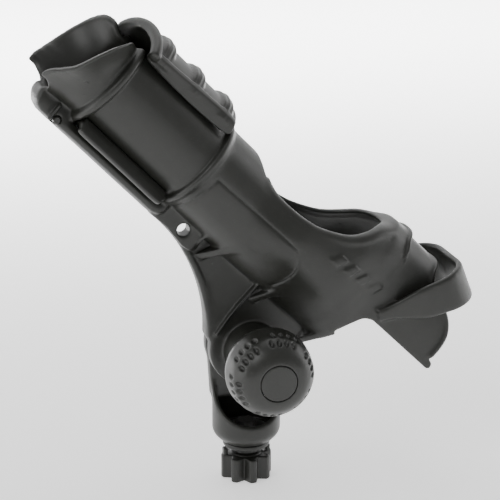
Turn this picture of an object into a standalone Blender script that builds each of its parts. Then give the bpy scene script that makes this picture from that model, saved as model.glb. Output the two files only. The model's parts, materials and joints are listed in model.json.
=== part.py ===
"""Tilting rod holder: a cradle with a locking collar, clamped by a hand knob to a base with a star post.

World frame: the origin is the centre of the star post's bottom face and +Z runs up the post. The
cradle's mid-plane is XZ, its mouth points to -X and up, and the knob is on the -Y side.

The cradle is drawn in its own frame and tilted about the pivot: X runs along the barrel from the
mouth to the rear, Z runs square to the barrel, away from the base, and the pivot is at the origin.
Angles round the barrel, called phi, are 0 at the top (+Z) and grow towards the knob side (-Y).
"""

import math

import bmesh
import bpy
from mathutils import Matrix, Vector

MM = 0.001
GAP = 0.3 * MM

# Base
STAR_POINTS = 8
STAR_RADIUS = 14.5 * MM
STAR_VALLEY = 10.4 * MM
STAR_HEIGHT = 13.8 * MM
STAR_TURN = math.radians(-21.0)
NECK_RADIUS = 6.6 * MM
SHOULDER_RADIUS = 13.1 * MM
SHOULDER_Z = (18.9 * MM, 21.6 * MM)
CUP_RADIUS = 18.9 * MM
CUP_BORE = 16.4 * MM
CUP_BOTTOM = 21.9 * MM
CUP_FLOOR = 27.0 * MM
CUP_CHAMFER = 5.2 * MM
SPIGOT_RADIUS = 8.5 * MM

# Hinge
PIVOT_Z = 78.3 * MM
TILT = math.radians(46.0)
EAR_RADIUS = 21.6 * MM
EAR_Y = (4.2 * MM, 11.3 * MM)
HUB_RADIUS = 22.4 * MM
HUB_Y = (-10.0 * MM, -0.8 * MM)
BOSS_RADIUS = 15.0 * MM
BOSS_Y = -24.2 * MM
BOLT_RADIUS = 4.0 * MM
BOLT_HOLE = 4.3 * MM
HEX_RADIUS = 7.5 * MM
BUSH_RADIUS = 6.0 * MM
SPRING_BORE = 8.8 * MM
TOOTH_COUNT = 24
TOOTH_RING = (11.0 * MM, 20.0 * MM)

# Knob
KNOB_RADIUS = 23.4 * MM
KNOB_BACK_Y = -26.5 * MM
KNOB_RIM_Y = -46.3 * MM
KNOB_FACE_Y = -63.9 * MM
CAP_RADIUS = 9.7 * MM
CAP_DEPTH = 3.6 * MM
NUT_SEAT_Y = -46.0 * MM

# Cradle
AXIS_W = 52.4 * MM
TUBE_RADIUS = 26.5 * MM
TUBE_WALL = 2.8 * MM
TUBE_BULGE = 7.0 * MM
HOOD_RISE = 52.5 * MM
BARREL_RADIUS = 25.8 * MM
BARREL_WALL = 2.4 * MM
LIP_START = -163.4 * MM
LIP_RIM = (
    (35.0, -167.0 * MM, 1.5 * MM),
    (42.0, -169.4 * MM, 5.0 * MM),
    (50.0, -172.0 * MM, 9.2 * MM),
    (58.0, -174.8 * MM, 12.0 * MM),
    (66.0, -178.0 * MM, 13.2 * MM),
    (75.0, -180.8 * MM, 13.2 * MM),
    (85.0, -183.4 * MM, 12.4 * MM),
    (102.0, -186.6 * MM, 9.8 * MM),
    (114.0, -189.4 * MM, 6.4 * MM),
    (132.0, -192.4 * MM, 3.4 * MM),
    (180.0, -194.0 * MM, 2.4 * MM),
)
LIP_CURVE = 1.5
NOTCH = (
    (-199.0 * MM, 19.0 * MM),
    (-188.0 * MM, 17.8 * MM),
    (-182.0 * MM, 15.5 * MM),
    (-177.0 * MM, 10.5 * MM),
)
SLOT_HALF_ANGLE = math.radians(35.0)
SLOT_END_U = -101.6 * MM
FRONT_RING_U = (-164.8 * MM, -159.6 * MM)
REAR_RING_U = (-97.6 * MM, -92.6 * MM)
RING_RADIUS = 29.2 * MM
KEEL_INNER = 31.6 * MM
KEEL_OUTER = 36.0 * MM
KEEL_HALF_ANGLE = math.radians(20.0)
KEEL_U = (-179.6 * MM, -90.4 * MM)
WEB_HALF = 3.6 * MM
TETHER_HOLE = 3.4 * MM
TETHER_AT = (-74.9 * MM, 22.0 * MM)
PIN_RADIUS = 2.1 * MM
PIN_HALF = 12.4 * MM
PIN_AT = (-167.8 * MM, 19.6 * MM)

# Collar
COLLAR_U = (-159.0 * MM, -99.0 * MM)
COLLAR_INNER = 26.4 * MM
COLLAR_OUTER = 28.9 * MM
COLLAR_UPPER_END = math.radians(46.0)
COLLAR_LOWER_END = math.radians(143.0)
HOOD_END = math.radians(-50.0)
HOOD_INNER = 31.2 * MM
HOOD_OUTER = 34.3 * MM
HOOD_FRONT_NEAR_U = -159.8 * MM
HOOD_FRONT_FAR_U = -169.2 * MM
RIB_RADIUS = 37.4 * MM
RIB_CENTRES_U = (-150.2 * MM, -128.2 * MM, -106.8 * MM)
RIB_WIDTH = 7.2 * MM
WING_RADIUS = 35.1 * MM
WING_SPAN = math.radians(6.0)
SLIVER = math.radians(0.2)

ROUND = 48


# ---------------------------------------------------------------- helpers

def clear_scene():
    for item in list(bpy.data.objects):
        bpy.data.objects.remove(item, do_unlink=True)


def make_material(name, colour, roughness, metallic=0.0):
    material = bpy.data.materials.new(name)
    material.use_nodes = True
    shader = material.node_tree.nodes["Principled BSDF"]
    shader.inputs["Base Color"].default_value = (*colour, 1.0)
    shader.inputs["Roughness"].default_value = roughness
    shader.inputs["Metallic"].default_value = metallic
    return material


def make_object(name, mesh_builder):
    """A new object from a bmesh, its normals facing out."""
    bmesh.ops.remove_doubles(mesh_builder, verts=mesh_builder.verts, dist=1e-6)
    bmesh.ops.recalc_face_normals(mesh_builder, faces=mesh_builder.faces)
    bent = [face for face in mesh_builder.faces if len(face.verts) == 4]
    bmesh.ops.triangulate(mesh_builder, faces=bent)
    mesh = bpy.data.meshes.new(name)
    mesh_builder.to_mesh(mesh)
    mesh_builder.free()
    made = bpy.data.objects.new(name, mesh)
    bpy.context.collection.objects.link(made)
    return made


def combine(target, tool, operation):
    """Applies a Boolean of tool to target, and removes tool."""
    modifier = target.modifiers.new("combine", "BOOLEAN")
    modifier.object = tool
    modifier.operation = operation
    modifier.solver = "EXACT"
    bpy.context.view_layer.update()
    evaluated = target.evaluated_get(bpy.context.evaluated_depsgraph_get())
    result = bpy.data.meshes.new_from_object(evaluated)
    result.name = target.name
    target.modifiers.clear()
    target.data = result
    bpy.data.objects.remove(tool, do_unlink=True)


def unite(target, *tools):
    for tool in tools:
        combine(target, tool, "UNION")


def cut(target, *tools):
    for tool in tools:
        combine(target, tool, "DIFFERENCE")


def finish(made, material, parent=None, smooth_angle=35.0):
    made.data.materials.clear()
    made.data.materials.append(material)
    made.data.shade_smooth()
    made.data.set_sharp_from_angle(angle=math.radians(smooth_angle))
    made.parent = parent
    return made


def ring_of_faces(mesh_builder, rings, closed_ends):
    """Joins equal closed rings of points into a skin, with a face on each end or with the ends joined."""
    rows = [[mesh_builder.verts.new(point) for point in ring] for ring in rings]
    pairs = list(zip(rows, rows[1:]))
    if not closed_ends:
        pairs.append((rows[-1], rows[0]))
    for first, second in pairs:
        for i in range(len(first)):
            j = (i + 1) % len(first)
            mesh_builder.faces.new((first[i], first[j], second[j], second[i]))
    if closed_ends:
        mesh_builder.faces.new(rows[0])
        mesh_builder.faces.new(rows[-1])


def loft(name, rings, closed_ends=True):
    mesh_builder = bmesh.new()
    ring_of_faces(mesh_builder, rings, closed_ends)
    return make_object(name, mesh_builder)


def prism(name, outline, y_low, y_high):
    """An outline of (x, z) points, extruded along Y."""
    rings = [[Vector((x, y, z)) for x, z in outline] for y in (y_low, y_high)]
    return loft(name, rings)


def slab(name, outline, x_low, x_high):
    """An outline of (y, z) points, extruded along X."""
    rings = [[Vector((x, y, z)) for y, z in outline] for x in (x_low, x_high)]
    return loft(name, rings)


def box(name, low, high):
    outline = [(low[0], low[2]), (high[0], low[2]), (high[0], high[2]), (low[0], high[2])]
    return prism(name, outline, low[1], high[1])


def turned(name, profile, segments=ROUND, along="Z"):
    """A closed profile of (radius, height) points, turned about Z, or about Y with height along Y."""
    rings = []
    for i in range(segments):
        angle = 2.0 * math.pi * i / segments
        side, front = math.cos(angle), math.sin(angle)
        if along == "Z":
            rings.append([Vector((r * side, r * front, h)) for r, h in profile])
        else:
            rings.append([Vector((r * side, h, r * front)) for r, h in profile])
    return loft(name, rings, closed_ends=False)


def disc(name, radius, low, high, segments=ROUND, along="Y", centre=(0.0, 0.0)):
    """A plain cylinder parallel to Y or Z; six segments make a hexagon."""
    rings = []
    for height in (low, high):
        ring = []
        for i in range(segments):
            angle = 2.0 * math.pi * i / segments
            a = centre[0] + radius * math.cos(angle)
            b = centre[1] + radius * math.sin(angle)
            ring.append(Vector((a, height, b)) if along == "Y" else Vector((a, b, height)))
        rings.append(ring)
    return loft(name, rings)


def washer(name, inner, outer, low, high, segments=ROUND, along="Y"):
    return turned(name, [(inner, low), (outer, low), (outer, high), (inner, high)], segments, along)


def arc(centre_x, centre_z, radius, start, end, steps):
    """Points (x, z) on an arc, with angles in degrees from +X towards +Z."""
    points = []
    for i in range(steps + 1):
        angle = math.radians(start + (end - start) * i / steps)
        points.append((centre_x + radius * math.cos(angle), centre_z + radius * math.sin(angle)))
    return points


def round_barrel(u, radius, phi):
    """A point of the cradle frame at this place along the barrel, radius and angle."""
    return Vector((u, -radius * math.sin(phi), AXIS_W + radius * math.cos(phi)))


def sector(name, u_range, inner, outer, phi_start, phi_end, steps):
    """Part of a tube about the barrel's axis."""
    rings = []
    for i in range(steps + 1):
        phi = phi_start + (phi_end - phi_start) * i / steps
        corners = [(u_range[0], inner), (u_range[1], inner), (u_range[1], outer), (u_range[0], outer)]
        rings.append([round_barrel(u, radius, phi) for u, radius in corners])
    return loft(name, rings)


def ease(low, high, value):
    """0 at low, 1 at high, and a smooth step between."""
    share = min(max((value - low) / (high - low), 0.0), 1.0)
    return share * share * (3.0 - 2.0 * share)


# ---------------------------------------------------------------- cradle

def tube_radius(u, phi, inset):
    """The tube's radius: round at the neck, wider at the opening, a tall arch over the rear."""
    arch = ease(-62 * MM, 22 * MM, u)
    above_axis = math.cos(phi) > 0.0
    length_share = ease(-64 * MM, -30 * MM, u) * (1.0 - ease(-4 * MM, 30 * MM, u))
    bulge = length_share * ease(-0.8, 0.25, math.cos(phi))
    side = TUBE_RADIUS + TUBE_BULGE * bulge - inset
    rise = TUBE_RADIUS - inset + (HOOD_RISE - TUBE_RADIUS) * arch * above_axis
    power = 2.0 + 0.6 * arch * above_axis
    across = (abs(math.sin(phi)) / side) ** power
    up = (abs(math.cos(phi)) / rise) ** power
    return (across + up) ** (-1.0 / power)


def tube_outline():
    """Side view of the neck, trough and hood, as (x, z): oval opening above, open bottom behind."""
    bottom = AXIS_W - 40 * MM
    top = AXIS_W + 62 * MM
    return [
        (-94 * MM, bottom),
        (26 * MM, bottom),
        (25 * MM, 29 * MM),
        (23.2 * MM, 35.4 * MM),
        (24.5 * MM, 43.8 * MM),
        (26.4 * MM, 49.4 * MM),
        (31.2 * MM, 56.4 * MM),
        (78 * MM, 57.6 * MM),
        (80 * MM, 60 * MM),
        (78.5 * MM, 62.5 * MM),
        (75 * MM, 63 * MM),
        (74 * MM, 73 * MM),
        (70.5 * MM, 83 * MM),
        (64 * MM, 91 * MM),
        (56 * MM, 98 * MM),
        (51 * MM, 106 * MM),
        (51 * MM, top),
        (22 * MM, top),
        (20 * MM, 103.5 * MM),
        (11 * MM, 101 * MM),
        (4 * MM, 96 * MM),
        (-2 * MM, 88 * MM),
        (-8 * MM, 82 * MM),
        (-14 * MM, 77.2 * MM),
        (-26 * MM, 72 * MM),
        (-44 * MM, 68.8 * MM),
        (-58 * MM, 69.2 * MM),
        (-67 * MM, 73.5 * MM),
        (-75 * MM, 81 * MM),
        (-79 * MM, top),
        (-94 * MM, top),
    ]


def tube_skin(inset, overrun):
    """The neck, trough and rear hood as one solid, inset for the bore."""
    stations = [-95, -77, -62, -50, -40, -30, -20, -10, 0, 10, 22, 52, 82]
    turns = [2.0 * math.pi * i / ROUND for i in range(ROUND)]
    rings = []
    for u in stations:
        place = u * MM + (overrun if u == stations[-1] else 0.0) - (overrun if u == stations[0] else 0.0)
        rings.append([round_barrel(place, tube_radius(u * MM, phi, inset), phi) for phi in turns])
    return loft("tube_skin", rings)


def tube_and_web():
    """The tube trimmed to its side view, with the web and gussets below it, and its bore cut."""
    tube = tube_skin(0.0, 0.0)
    combine(tube, prism("tube_trim", tube_outline(), -40 * MM, 40 * MM), "INTERSECT")
    unite(tube, web())
    unite(tube, gusset((-57.6 * MM, -53.4 * MM), 16 * MM, 18.6 * MM, 35.6 * MM))
    unite(tube, gusset((-18.2 * MM, -14.2 * MM), 19 * MM, 20.4 * MM, 38.4 * MM))
    unite(tube, gusset((14.3 * MM, 18.2 * MM), 21.5 * MM, 19.8 * MM, 37.4 * MM))
    cut(tube, tube_skin(TUBE_WALL, 2 * MM))
    return tube


def lip_rim(phi):
    """Where the lip's rim is along the barrel at this angle, and how far it is flared there."""
    turn = abs(math.degrees(math.remainder(phi, 2.0 * math.pi)))
    for near, far in zip(LIP_RIM, LIP_RIM[1:]):
        if turn <= far[0]:
            share = max((turn - near[0]) / (far[0] - near[0]), 0.0)
            return (near[1] + (far[1] - near[1]) * share, near[2] + (far[2] - near[2]) * share)
    return LIP_RIM[-1][1:]


def barrel_radius(u, phi):
    """The barrel's outer radius, flared like a trumpet towards the rim of each lip."""
    rim, flare = lip_rim(phi)
    share = max((LIP_START - u) / (LIP_START - rim), 0.0)
    return BARREL_RADIUS + flare * share ** LIP_CURVE


def barrel_shell():
    """The slotted barrel with its two flared lips and the wide notch between their lower tips."""
    shares = (1.0, 0.8, 0.6, 0.35, 0.0)
    steps = 41
    rings = []
    for i in range(steps + 1):
        phi = SLOT_HALF_ANGLE + (2.0 * math.pi - 2.0 * SLOT_HALF_ANGLE) * i / steps
        rim, _ = lip_rim(phi)
        stations = [LIP_START + (rim - LIP_START) * share for share in shares]
        stations.append(REAR_RING_U[1] - 0.8 * MM)
        outer = [round_barrel(u, barrel_radius(u, phi), phi) for u in stations]
        inner = [round_barrel(u, barrel_radius(u, phi) - BARREL_WALL, phi) for u in reversed(stations)]
        rings.append(outer + inner)
    shell = loft("barrel_shell", rings)
    notch = [(x, y) for x, y in NOTCH] + [(x, -y) for x, y in reversed(NOTCH)]
    rings = [[Vector((x, y, z)) for x, y in notch] for z in (10 * MM, 40 * MM)]
    cut(shell, loft("bottom_notch", rings))
    return shell


def slot_plug():
    """Closes the end of the barrel's slot, ahead of the neck."""
    half = SLOT_HALF_ANGLE + 0.1
    inner, outer = BARREL_RADIUS - BARREL_WALL + 0.3 * MM, BARREL_RADIUS - 0.2 * MM
    return sector("slot_plug", (SLOT_END_U, REAR_RING_U[1] - 1.3 * MM), inner, outer, -half, half, 13)


def full_ring(name, u_range, inner, outer):
    """A whole ring about the barrel's axis, with rounded outer corners."""
    profile = [
        (u_range[0], inner),
        (u_range[0], outer - 1.2 * MM),
        (u_range[0] + 1.2 * MM, outer),
        (u_range[1] - 1.2 * MM, outer),
        (u_range[1], outer - 1.2 * MM),
        (u_range[1], inner),
    ]
    rings = []
    for i in range(ROUND):
        phi = 2.0 * math.pi * (i + 0.4) / ROUND
        rings.append([round_barrel(u, radius, phi) for u, radius in profile])
    return loft(name, rings, closed_ends=False)


def front_ring():
    """The open ring that stops the collar at the mouth."""
    steps = 37
    start = SLOT_HALF_ANGLE + 3.0 * SLIVER
    rings = []
    for i in range(steps + 1):
        phi = start + (2.0 * math.pi - 2.0 * start) * i / steps
        profile = [
            (FRONT_RING_U[0], BARREL_RADIUS - 1.2 * MM),
            (FRONT_RING_U[0], RING_RADIUS - 1.2 * MM),
            (FRONT_RING_U[0] + 1.2 * MM, RING_RADIUS),
            (FRONT_RING_U[1], RING_RADIUS),
            (FRONT_RING_U[1], BARREL_RADIUS - 1.2 * MM),
        ]
        rings.append([round_barrel(u, radius, phi) for u, radius in profile])
    return loft("front_ring", rings)


def keel():
    """The bridge under the collar, with a rounded nose and a foot at each ring."""
    start, end = KEEL_U
    profile = [
        (start + 4 * MM, KEEL_INNER - 4 * MM),
        (start, KEEL_INNER),
        (start + 1 * MM, KEEL_OUTER - 2.2 * MM),
        (start + 5 * MM, KEEL_OUTER - 0.3 * MM),
        (start + 10 * MM, KEEL_OUTER),
        (end - 4 * MM, KEEL_OUTER),
        (end, KEEL_OUTER - 4 * MM),
        (end, TUBE_RADIUS - 1.2 * MM),
        (REAR_RING_U[0] + 0.4 * MM, TUBE_RADIUS - 1.2 * MM),
        (REAR_RING_U[0] + 0.4 * MM, KEEL_INNER),
        (FRONT_RING_U[1] - 0.4 * MM, KEEL_INNER),
        (FRONT_RING_U[1] - 0.4 * MM, BARREL_RADIUS - 1.2 * MM),
        (start + 8 * MM, BARREL_RADIUS - 1.2 * MM),
    ]
    steps = 7
    rings = []
    for i in range(steps + 1):
        phi = math.pi - KEEL_HALF_ANGLE + 2.0 * KEEL_HALF_ANGLE * i / steps
        rings.append([round_barrel(u, radius, phi) for u, radius in profile])
    return loft("keel", rings)


def web_front_edge():
    """The web's curved front edge, from the keel down to the hub, as (x, z)."""
    return [
        (-94 * MM, 17 * MM),
        (-83 * MM, 17.2 * MM),
        (-69.5 * MM, 15.4 * MM),
        (-56 * MM, 11.4 * MM),
        (-43 * MM, 5.4 * MM),
        (-31 * MM, -2.6 * MM),
        (-22 * MM, -11 * MM),
    ]


def web():
    """The plate between tube and hub, its thick front border and the raised hub plate."""
    edge = web_front_edge()
    lower = arc(0.0, 0.0, 19 * MM, 231, 353, 10)
    plate = prism("web", edge + lower + [(19.5 * MM, 27 * MM), (-93.4 * MM, 27 * MM)], -WEB_HALF, WEB_HALF)
    back = [(x + 0.8 * MM, z + 3.6 * MM) for x, z in reversed(edge)]
    border = prism("web_border", edge + back, -6.2 * MM, WEB_HALF - 0.3 * MM)
    raised_edge = [(-20.4 * MM, -8 * MM), (-23.6 * MM, 30.5 * MM), (17 * MM, 30.5 * MM), (18 * MM, 1 * MM)]
    raised = prism("hub_plate", raised_edge, -9.6 * MM, -1.2 * MM)
    hub = disc("hub", HUB_RADIUS, HUB_Y[0], HUB_Y[1])
    boss = disc("boss", BOSS_RADIUS, BOSS_Y, HUB_Y[0] + 2 * MM, 37)
    unite(plate, border, raised, hub, boss)
    cut(plate, disc("ring_recess", HUB_RADIUS + 0.4 * MM, HUB_Y[1], 9 * MM, 50))
    return plate


def gusset(u_range, foot_z, reach, reach_z):
    """A pair of triangular ribs between the web and the underside of the tube."""
    outline = [(-2 * MM, foot_z), (2 * MM, foot_z), (reach, reach_z), (-reach, reach_z)]
    return slab("gusset", outline, u_range[0], u_range[1])


def rear_loop():
    """The flat strap that stands out behind the hood, its band widening from each root."""
    across = Vector((0.92, 0.0, -0.39))
    start, rear = Vector((34 * MM, 0.0, 62 * MM)), Vector((61 * MM, 0.0, 108.5 * MM))
    half_width = 31.5 * MM
    bend = 9.0 * MM
    straight = 0.82
    thick = 3.4 * MM
    route = []
    for i in range(9):
        share = i / 8.0
        middle = start.lerp(rear, share * straight)
        side = half_width - (4.2 * MM) * (1.0 - ease(0.0, 0.8, share)) - 1.0 * MM * ease(0.6, 1.0, share)
        route.append((middle + Vector((0.0, -side, 0.0)), share))
    forward = (rear - start).normalized()
    centre = start.lerp(rear, straight)
    for i in range(1, 7):
        turn = math.radians(15.0 * i)
        side = half_width - 1.0 * MM - bend * (1.0 - math.cos(turn))
        route.append((centre + forward * bend * math.sin(turn) + Vector((0.0, -side, 0.0)), 1.0))
    mirrored = [(Vector((p.x, -p.y, p.z)), share) for p, share in reversed(route)]
    route = route + mirrored
    rings = []
    for i, (place, share) in enumerate(route):
        before, after = route[max(i - 1, 0)][0], route[min(i + 1, len(route) - 1)][0]
        along = (after - before).normalized()
        outward = along.cross(across).normalized()
        tall = (5.0 + 14.0 * ease(0.0, 0.5, share)) * MM
        corners = [(-0.5, -0.5), (0.5, -0.5), (0.5, 0.5), (-0.5, 0.5)]
        rings.append([place + across * tall * a + outward * thick * b for a, b in corners])
    return loft("rear_loop", rings)


def bead(u, phi_end, height):
    """A raised bead round the outside of the hood."""
    rings = []
    steps = 20
    for i in range(steps + 1):
        phi = -phi_end + 2.0 * phi_end * i / steps
        radius = tube_radius(u, phi, 0.0)
        fade = 1.0 - ease(0.7, 1.0, abs(phi) / phi_end)
        corners = [(-2.4, -1.2), (2.4, -1.2), (1.2, height * fade), (-1.2, height * fade)]
        rings.append([round_barrel(u + a * MM, radius + b * MM, phi) for a, b in corners])
    return loft("bead", rings)


def build_cradle(parent, material):
    cradle = tube_and_web()
    barrel = barrel_shell()
    unite(barrel, slot_plug())
    unite(cradle, barrel)
    unite(cradle, full_ring("rear_ring", REAR_RING_U, TUBE_RADIUS - 1.4 * MM, RING_RADIUS - 0.5 * MM))
    unite(cradle, front_ring(), keel())
    unite(cradle, bead(30 * MM, math.radians(46), 1.3), rear_loop())
    cut(cradle, disc("tether_hole", TETHER_HOLE, -12 * MM, 12 * MM, 20, centre=TETHER_AT))
    cut(cradle, disc("bush_bore", BUSH_RADIUS + GAP, BOSS_Y - 2 * MM, -7 * MM, 32))
    cut(cradle, disc("spring_bore", SPRING_BORE, -8.4 * MM, 2 * MM, 32))
    cut(cradle, disc("pin_bore", PIN_RADIUS + GAP, -30 * MM, 30 * MM, 20, centre=PIN_AT))
    cradle.name = cradle.data.name = "cradle"
    return finish(cradle, material, parent)


def build_keel_pin(parent, material):
    """A cross pin through the keel's nose, its domed heads just proud."""
    half, dome = PIN_HALF, 0.9 * MM
    profile = [
        (PIN_RADIUS * 0.7, -half + 0.3 * MM),
        (PIN_RADIUS, -half + dome),
        (PIN_RADIUS, half - dome),
        (PIN_RADIUS * 0.7, half - 0.3 * MM),
    ]
    segments = 20
    rings = []
    for radius, y in profile:
        ring = []
        for i in range(segments):
            angle = 2.0 * math.pi * i / segments
            along, upright = radius * math.cos(angle), radius * math.sin(angle)
            ring.append(Vector((PIN_AT[0] + along, y, PIN_AT[1] + upright)))
        rings.append(ring)
    return finish(loft("keel_pin", rings), material, parent)


def build_pivot_bush(parent, material):
    bush = washer("pivot_bush", BOLT_HOLE, BUSH_RADIUS, BOSS_Y + 0.2 * MM, -8.8 * MM, 32)
    return finish(bush, material, parent)


def tooth_ring(name, back_y, root_y, tip_y):
    """A flat ring with radial teeth on one face."""
    inner, outer = TOOTH_RING
    steps = TOOTH_COUNT * 2
    rings = []
    for i in range(steps):
        angle = 2.0 * math.pi * i / steps
        face = tip_y if i % 2 else root_y
        spoke = Vector((math.cos(angle), 0.0, math.sin(angle)))
        rings.append([
            spoke * inner + Vector((0.0, back_y, 0.0)),
            spoke * outer + Vector((0.0, back_y, 0.0)),
            spoke * outer + Vector((0.0, face, 0.0)),
            spoke * inner + Vector((0.0, face, 0.0)),
        ])
    return loft(name, rings, closed_ends=False)


def build_tooth_rings(cradle_parent, base_parent, material):
    face = HUB_Y[1]
    hub_ring = tooth_ring("hub_tooth_ring", face + GAP, face + 1.3 * MM, face + 2.1 * MM)
    finish(hub_ring, material, cradle_parent)
    face = EAR_Y[0]
    ear_ring = tooth_ring("ear_tooth_ring", face - GAP, face - 1.3 * MM, face - 2.1 * MM)
    finish(ear_ring, material, base_parent)


# ---------------------------------------------------------------- collar

def collar_section(phi):
    """Inner and outer radius of the collar at this angle."""
    if phi > HOOD_END:
        share = ease(HOOD_END, HOOD_END + math.radians(14), phi)
        inner = COLLAR_INNER + (HOOD_INNER - COLLAR_INNER) * share
        return (inner, COLLAR_OUTER + (HOOD_OUTER - COLLAR_OUTER) * share)
    return (COLLAR_INNER, COLLAR_OUTER)


def collar_front(phi):
    """The hood's front rim reaches out over the mouth, furthest on the side away from the knob."""
    rim = HOOD_FRONT_NEAR_U + (HOOD_FRONT_FAR_U - HOOD_FRONT_NEAR_U) * ease(
        COLLAR_UPPER_END, math.radians(-40.0), phi)
    share = ease(HOOD_END + math.radians(12), HOOD_END + math.radians(24), phi)
    return COLLAR_U[0] + (rim - COLLAR_U[0]) * share


def build_collar(parent, material):
    """The C-shaped collar, from its upper wing over the hood and round the far side to its lower wing."""
    start, end = COLLAR_UPPER_END, COLLAR_LOWER_END - 2.0 * math.pi
    steps = 60
    rings = []
    for i in range(steps + 1):
        phi = start + (end - start) * i / steps
        inner, outer = collar_section(phi)
        front = collar_front(phi)
        corners = [(front, inner), (COLLAR_U[1], inner), (COLLAR_U[1], outer), (front, outer)]
        rings.append([round_barrel(u, radius, phi) for u, radius in corners])
    collar = loft("locking_collar", rings)
    unite(collar, upper_wing(), lower_wing())
    for centre in RIB_CENTRES_U:
        unite(collar, hood_rib(centre))
    collar.data.transform(Matrix.Translation((0.0, 0.0, -AXIS_W)))
    return finish(collar, material, parent)


def wing(name, phi, inner):
    """A thumb wing with rounded ends, standing out from one end of the collar."""
    low, high = COLLAR_U
    profile = [
        (low + 1.5 * MM, inner),
        (low, inner + 2.5 * MM),
        (low + 0.8 * MM, WING_RADIUS - 1.6 * MM),
        (low + 3.2 * MM, WING_RADIUS),
        (high - 3.2 * MM, WING_RADIUS),
        (high - 0.8 * MM, WING_RADIUS - 1.6 * MM),
        (high, inner + 2.5 * MM),
        (high - 1.5 * MM, inner),
    ]
    rings = []
    for share in (0.0, 0.5, 1.0):
        rings.append([round_barrel(u, radius, phi + share * WING_SPAN) for u, radius in profile])
    return loft(name, rings)


def upper_wing():
    return wing("upper_wing", COLLAR_UPPER_END - WING_SPAN + SLIVER, HOOD_INNER - 1.2 * MM)


def lower_wing():
    return wing("lower_wing", COLLAR_LOWER_END - SLIVER, COLLAR_INNER + 0.6 * MM)


def hood_rib(centre):
    """A pair of narrow rings on a low pad, wrapped over the hood."""
    half = RIB_WIDTH / 2.0
    pad = HOOD_OUTER + 1.0 * MM
    profile = [
        (centre - half, HOOD_OUTER - 1.0 * MM),
        (centre - half, pad),
        (centre - half + 1.0 * MM, RIB_RADIUS),
        (centre - 0.9 * MM, RIB_RADIUS),
        (centre, RIB_RADIUS - 1.0 * MM),
        (centre + 0.9 * MM, RIB_RADIUS),
        (centre + half - 1.0 * MM, RIB_RADIUS),
        (centre + half, pad),
        (centre + half, HOOD_OUTER - 1.0 * MM),
    ]
    start, end = COLLAR_UPPER_END - math.radians(4.0), HOOD_END + math.radians(17.0)
    steps = 20
    rings = []
    for i in range(steps + 1):
        phi = start + (end - start) * i / steps
        rings.append([round_barrel(u, radius, phi) for u, radius in profile])
    return loft("hood_rib", rings)


# ---------------------------------------------------------------- base

def build_base_yoke(material):
    """The hollow cup with its slanted rim, and the ear that rises from its far side."""
    profile = [
        (CUP_RADIUS - CUP_CHAMFER, CUP_BOTTOM),
        (CUP_RADIUS - 1.4 * MM, CUP_BOTTOM + 3.4 * MM),
        (CUP_RADIUS, CUP_BOTTOM + 6.2 * MM),
        (CUP_RADIUS, 66 * MM),
    ]
    rings = []
    for radius, height in profile:
        turns = [2.0 * math.pi * i / ROUND for i in range(ROUND)]
        rings.append([Vector((radius * math.cos(turn), radius * math.sin(turn), height)) for turn in turns])
    yoke = loft("base_yoke", rings)
    slant = [(-40 * MM, 22 * MM), (-18.9 * MM, 34.6 * MM), (-8 * MM, 42 * MM), (EAR_Y[0], 53 * MM),
             (EAR_Y[0], 90 * MM), (-40 * MM, 90 * MM)]
    far_top = [(EAR_Y[1], 90 * MM), (EAR_Y[1], 57 * MM), (22 * MM, 40 * MM), (40 * MM, 40 * MM),
               (40 * MM, 90 * MM)]
    cut(yoke, slab("slant", slant, -40 * MM, 40 * MM), slab("far_top", far_top, -40 * MM, 40 * MM))
    hollow = disc("hollow", CUP_BORE, CUP_FLOOR, 80 * MM, 40, along="Z")
    below_ear = EAR_Y[0] - 0.2 * MM
    under_ear = [(-30 * MM, 20 * MM), (30 * MM, 20 * MM), (30 * MM, 41 * MM), (below_ear, 46 * MM),
                 (below_ear, 90 * MM), (-30 * MM, 90 * MM)]
    combine(hollow, slab("hollow_limit", under_ear, -30 * MM, 30 * MM), "INTERSECT")
    cut(yoke, hollow)
    ear = disc("ear", EAR_RADIUS, EAR_Y[0], EAR_Y[1], centre=(0.0, PIVOT_Z))
    neck_sides = [(-18.4 * MM, 47 * MM), (18.4 * MM, 47 * MM), (19.8 * MM, 70 * MM), (-19.8 * MM, 70 * MM)]
    neck = prism("ear_neck", neck_sides, EAR_Y[0] + 0.4 * MM, EAR_Y[1] - 0.4 * MM)
    unite(yoke, ear, neck)
    cut(yoke, disc("bolt_hole", BOLT_HOLE, 0.0, 30 * MM, 24, centre=(0.0, PIVOT_Z)))
    cut(yoke, disc("head_pocket", HEX_RADIUS + 0.9 * MM, 6.6 * MM, 30 * MM, 6, centre=(0.0, PIVOT_Z)))
    cut(yoke, disc("spigot_hole", SPIGOT_RADIUS + GAP, 10 * MM, 40 * MM, 32, along="Z"))
    return finish(yoke, material)


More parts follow.
